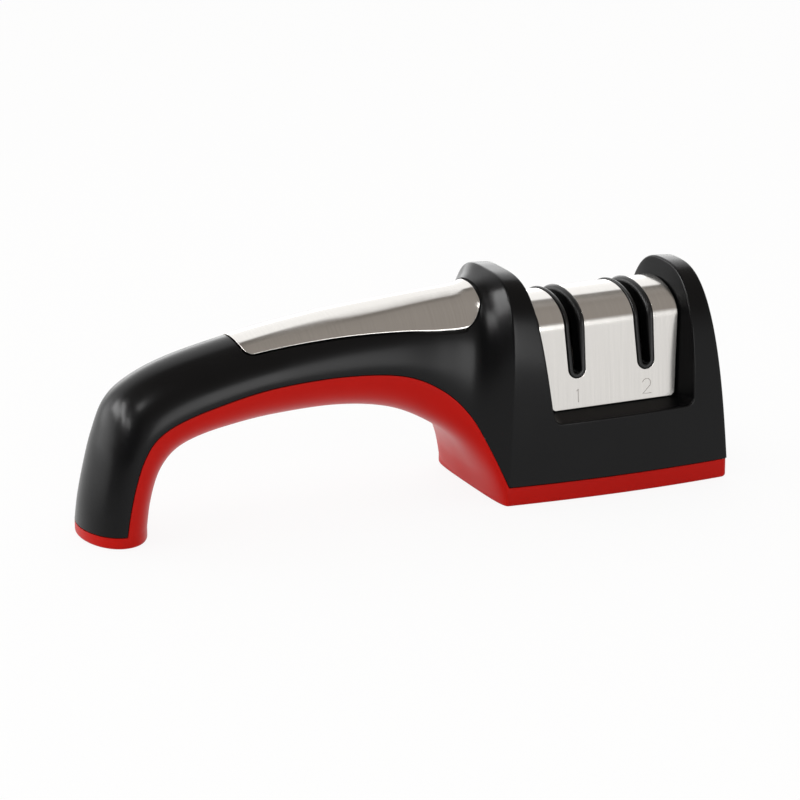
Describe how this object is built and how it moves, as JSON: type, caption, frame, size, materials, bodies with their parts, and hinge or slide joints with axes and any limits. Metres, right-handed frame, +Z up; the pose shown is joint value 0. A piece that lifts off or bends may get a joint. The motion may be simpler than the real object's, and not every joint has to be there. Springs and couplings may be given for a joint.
{
  "type": "knife sharpener",
  "caption": "Pull-through knife sharpener with an arched handle, a finned head, a bent steel cover and blade slots over bevelled sharpening wheels.",
  "frame": {"origin": "on the table, under the middle of the object's outer box", "axes": "+X from the foot of the handle to the head, -Y to the front with the numbered face, +Z up"},
  "size_m": [0.205, 0.0542, 0.069],
  "materials": {
    "black_abs": "satin moulded",
    "soft_red": "soft matte moulded",
    "stainless": "brushed",
    "polished_pin": "ground and polished",
    "grey_nylon": "moulded",
    "diamond_grit": "steel coated with diamond grit",
    "grey_ceramic": "fired, unglazed",
    "zinc_screw": "zinc plated",
    "black_rubber": "matte"
  },
  "bodies": {
    "housing": {"body_shell": "black_abs", "base_cover": "soft_red", "head_cover": "stainless", "handle_inlay": "stainless", "grip_pad": "black_rubber", "coarse_slot_liner": "black_abs", "coarse_cradle": "grey_nylon", "coarse_axle": "polished_pin", "coarse_washer_left": "polished_pin", "coarse_washer_right": "polished_pin", "fine_slot_liner": "black_abs", "fine_cradle": "grey_nylon", "fine_axle": "polished_pin", "fine_washer_left": "polished_pin", "fine_washer_right": "polished_pin", "base_screw_1": "zinc_screw", "base_screw_2": "zinc_screw", "base_screw_3": "zinc_screw", "base_screw_4": "zinc_screw", "handle_screw_1": "zinc_screw", "handle_screw_2": "zinc_screw", "cradle_screw_1": "zinc_screw", "cradle_screw_2": "zinc_screw", "cradle_screw_3": "zinc_screw", "cradle_screw_4": "zinc_screw"},
    "coarse_left": {"coarse_wheel_left": "diamond_grit"},
    "coarse_right": {"coarse_wheel_right": "diamond_grit"},
    "fine_left": {"fine_wheel_left": "grey_ceramic"},
    "fine_right": {"fine_wheel_right": "grey_ceramic"}
  },
  "joints": [
    {"name": "coarse_left_spin", "type": "hinge", "parent": "housing", "child": "coarse_left", "pos_m": [0.0538, 0, 0.0346], "axis": [1, 0, 0], "continuous": true},
    {"name": "coarse_right_spin", "type": "hinge", "parent": "housing", "child": "coarse_right", "pos_m": [0.0538, 0, 0.0346], "axis": [1, 0, 0], "continuous": true},
    {"name": "fine_left_spin", "type": "hinge", "parent": "housing", "child": "fine_left", "pos_m": [0.0775, 0, 0.0346], "axis": [1, 0, 0], "continuous": true},
    {"name": "fine_right_spin", "type": "hinge", "parent": "housing", "child": "fine_right", "pos_m": [0.0775, 0, 0.0346], "axis": [1, 0, 0], "continuous": true}
  ]
}
